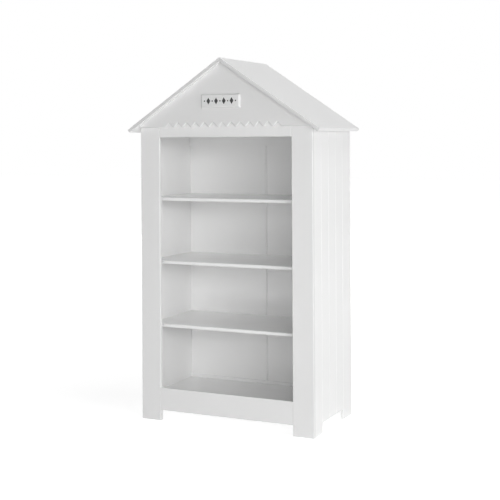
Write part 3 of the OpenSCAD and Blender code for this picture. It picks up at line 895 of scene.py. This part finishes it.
screwPlan = {"Head Width": 0.0068, "Head Depth": 0.0034, "Finish": platedSteel}
screwTree = makeScrewTree()
screwSeeds = {"backScrews": 7, "boardScrews": 11, "plaqueScrews": 13, "cleatScrews": 17}
for name, node in (("backScrews", "back_screws"), ("boardScrews", "gable_screws"),
                   ("plaqueScrews", "plaque_screws"), ("cleatScrews", "cleat_screws")):
    values = {**screwPlan, "Turn Seed": screwSeeds[name]}
    makeFittings(screwTree, name, node, values, fittings[node])
print("screws made")

camPlan = {"Slot Size": (0.009, 0.0016, 0.004), "Finish": castZinc}


def towardsSide(centre, inward):
    return Vector((math.copysign(1.0, centre.x), 0.0, 0.0))


# A cam's closed end is its widest flat face; it is built from the open face, which looks out of
# the panel
openFaces = [(centre + inward * length, -inward, length)
             for centre, inward, length in fittings["cam_locks"]]
makeFittings(makeCamTree(), "camLocks", "cam_locks", camPlan, openFaces, towardsSide, sized=False)
print("cam locks made")

dowelPlan = {"Width": 0.008, "Finish": rawWood}


def fromMiddle(places):
    return [(centre + inward * length / 2, inward, length) for centre, inward, length in places]


dowelTree = makeDowelTree()
for name, node in (("frameDowels", "frame_dowels"), ("panelDowels", "panel_dowels")):
    makeFittings(dowelTree, name, node, dowelPlan, fromMiddle(fittings[node]))
print("dowels made")


# Painted border of lozenges with a dot between each two and at both ends
def makeMotifTree():
    tree, given, result = newGroup("lozengeBorder", "GeometryNodeTree", [
        ("Ground", geometryKind, None),     # the empty mesh that carries the tree
        ("Lozenge Count", countKind, 4),
        ("Pitch", floatKind, 0.0405),
        ("Lozenge Width", floatKind, 0.02),
        ("Lozenge Height", floatKind, 0.032),
        ("Dot Width", floatKind, 0.007),
        ("Dot Sides", countKind, 12),
        ("Paint Rise", floatKind, 0.0004),
        ("Finish", materialKind, None),
    ], [("Border", geometryKind)])
    lozenge = (4, 0.0, given["Lozenge Width"], given["Lozenge Height"])
    dot = (given["Dot Sides"], 1.0, given["Dot Width"], given["Dot Width"])
    rows = []
    for sides, more, width, height in (lozenge, dot):
        count = mathNode(tree, "ADD", given["Lozenge Count"], more)
        gaps = mathNode(tree, "SUBTRACT", count, 1.0)
        start = multiply(tree, multiply(tree, gaps, given["Pitch"]), -0.5)
        row = makeRow(tree, count, onAxes(tree, {0: start}), onAxes(tree, {0: given["Pitch"]}))
        plate = makeRod(tree, sides, 0.5, given["Paint Rise"])
        plate = moveShape(tree, plate, scale=onAxes(tree, {0: width, 1: height, 2: 1.0}))
        rows.append(repeatShape(tree, row, plate))
    border = addNode(tree, "GeometryNodeJoinGeometry", {0: rows}).outputs[0]
    finishTree(tree, moveShape(tree, border, turn=(math.pi / 2, 0.0, 0.0)), given, result)
    return tree


low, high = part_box("gable_plaque")
ground = bpy.data.meshes.new("plaqueMotif")
motif = runTree(makeMotifTree(), "plaqueMotif", ground, {"Finish": motifPaint})
middle = Vector(((low.x + high.x) / 2, low.y, (low.z + high.z) / 2))
motif.data.transform(Matrix.Translation(middle))
finishPiece(motif, slot="motif_paint")
print("plaque ornament made")

cameraFit = {
    "place": (2.2817, -4.7439, 1.3461),
    "yaw": 25.377,                 # degrees, turned to the left of +Y
    "roll": 0.334,
    "sensorWidth": 36.0,           # millimetres
    "focalPixels": 1078.8,
    "axisPixel": (250.0, 141.1),   # where the lens axis meets the frame
    "framePixels": 500.0,
}


def makeCamera(fit):
    data = bpy.data.cameras.new("camera")
    data.sensor_width = fit["sensorWidth"]
    data.lens = data.sensor_width * fit["focalPixels"] / fit["framePixels"]
    data.shift_x = (fit["framePixels"] / 2 - fit["axisPixel"][0]) / fit["framePixels"]
    data.shift_y = (fit["axisPixel"][1] - fit["framePixels"] / 2) / fit["framePixels"]
    yaw, roll = math.radians(fit["yaw"]), math.radians(fit["roll"])
    level = Vector((math.cos(yaw), math.sin(yaw), 0.0))
    ahead = Vector((-math.sin(yaw), math.cos(yaw), 0.0))
    down = Vector((0.0, 0.0, -1.0))
    right = level * math.cos(roll) + down * math.sin(roll)
    below = down * math.cos(roll) - level * math.sin(roll)
    camera = bpy.data.objects.new("camera", data)
    turn = Matrix((right, -below, -ahead)).transposed().to_4x4()
    camera.matrix_world = Matrix.Translation(fit["place"]) @ turn
    scene.collection.objects.link(camera)
    scene.camera = camera


makeCamera(cameraFit)

stagePlan = {
    "half": 30.0, "tiles": 8, "floorTone": 0.9, "seenTone": 0.5,
    "worldStrength": 0.05, "bounceGlow": 0.1,
    "nearGlow": 0.8, "farGlow": 1.0, "glowFrom": 1.2, "glowTo": 4.0,   # metres from the middle
}


# What the camera, glossy and see-through rays meet is white; other rays meet the plain tone
def addWhiteSwitch(tree):
    path = addNode(tree, "ShaderNodeLightPath").outputs
    seen = mathNode(tree, "MAXIMUM", path["Is Camera Ray"], path["Is Glossy Ray"])
    return mathNode(tree, "MAXIMUM", seen, path["Is Transmission Ray"])


def glowingCoat(tree, tone, strength):
    dull = addNode(tree, "ShaderNodeBsdfDiffuse", {"Color": grey(tone)})
    glow = addNode(tree, "ShaderNodeEmission", {"Color": grey(1.0), "Strength": strength})
    return addNode(tree, "ShaderNodeAddShader", {0: dull.outputs[0], 1: glow.outputs[0]}).outputs[0]


# The floor keeps the object's shadow near it and turns evenly white further out
def makeFloor(plan):
    work = bmesh.new()
    tiles = plan["tiles"]
    bmesh.ops.create_grid(work, x_segments=tiles, y_segments=tiles, size=plan["half"])
    floor = pieceFrom(work, "floor")
    material = bpy.data.materials.new("paleFloor")
    material.use_nodes = True
    tree = material.node_tree
    tree.nodes.clear()
    away = addNode(tree, "ShaderNodeVectorMath", {0: objectPlace(tree)},
                   operation="LENGTH").outputs["Value"]
    glow = addNode(tree, "ShaderNodeMapRange", {
        "Value": away, "From Min": plan["glowFrom"], "From Max": plan["glowTo"],
        "To Min": plan["nearGlow"], "To Max": plan["farGlow"],
    }, interpolation_type="SMOOTHSTEP").outputs["Result"]
    plain = glowingCoat(tree, plan["floorTone"], plan["bounceGlow"])
    bright = glowingCoat(tree, plan["seenTone"], glow)
    mixed = addNode(tree, "ShaderNodeMixShader", {0: addWhiteSwitch(tree), 1: plain, 2: bright})
    addNode(tree, "ShaderNodeOutputMaterial", {"Surface": mixed.outputs[0]})
    floor.data.materials.append(material)


def makeWorld(plan):
    world = bpy.data.worlds.new("studio")
    scene.world = world
    world.use_nodes = True
    tree = world.node_tree
    tree.nodes.clear()
    soft, white = [addNode(tree, "ShaderNodeBackground", {"Color": grey(1.0), "Strength": strength})
                   for strength in (plan["worldStrength"], 1.0)]
    mixed = addNode(tree, "ShaderNodeMixShader",
                    {0: addWhiteSwitch(tree), 1: soft.outputs[0], 2: white.outputs[0]})
    addNode(tree, "ShaderNodeOutputWorld", {"Surface": mixed.outputs[0]})


makeFloor(stagePlan)
makeWorld(stagePlan)

# Softboxes: degrees to the right of the front and above level, metres away, width and height, and
# watts. The last two are for the sides away from the camera, and the last three show in no
# reflection
lampPlan = {
    "keyBox": {"turn": 43.0, "lift": 6.0, "reach": 10.0, "size": (2.4, 2.4), "power": 128.0},
    "crispBox": {"turn": 54.0, "lift": 8.0, "reach": 10.0, "size": (1.6, 1.6), "power": 76.0},
    "rightBox": {"turn": 56.0, "lift": 6.0, "reach": 10.0, "size": (4.5, 3.6), "power": 48.0},
    "sideBox": {"turn": 72.0, "lift": 8.0, "reach": 10.0, "size": (2.4, 2.4), "power": 160.0},
    "frontBox": {"turn": 20.0, "lift": 8.0, "reach": 10.0, "size": (5.0, 3.6), "power": 131.0},
    "highBox": {"turn": 20.0, "lift": 22.0, "reach": 10.0, "size": (5.0, 5.0), "power": 88.0},
    "topBox": {"turn": 80.0, "lift": 65.0, "reach": 10.0, "size": (5.0, 5.0), "power": 302.0},
    "lowFront": {"turn": 10.0, "lift": -22.0, "reach": 2.1, "size": (2.4, 0.3), "power": 3.0,
                 "mirrored": False},
    "leftBox": {"turn": -102.0, "lift": 6.0, "reach": 10.0, "size": (5.5, 3.6), "power": 240.0,
                "mirrored": False},
    "rearBox": {"turn": -164.0, "lift": 8.0, "reach": 10.0, "size": (6.0, 4.0), "power": 230.0,
                "mirrored": False},
}
lampAim = Vector((0.0, 0.0, 0.9))     # what they all face


def makeLamp(name, plan):
    data = bpy.data.lights.new(name, "AREA")
    data.shape = "RECTANGLE"
    data.size, data.size_y = plan["size"]
    data.energy = plan["power"]
    turn, lift = math.radians(plan["turn"]), math.radians(plan["lift"])
    level = math.cos(lift)
    away = Vector((level * math.sin(turn), -level * math.cos(turn), math.sin(lift)))
    lamp = bpy.data.objects.new(name, data)
    lamp.location = lampAim + away * plan["reach"]
    lamp.rotation_euler = (-away).to_track_quat("-Z", "Y").to_euler()
    lamp.visible_camera = False
    lamp.visible_glossy = plan.get("mirrored", True)
    scene.collection.objects.link(lamp)


for lampName, plan in lampPlan.items():
    makeLamp(lampName, plan)
scene.view_settings.view_transform = "Standard"
print("stage lit with", len(lampPlan), "softboxes")
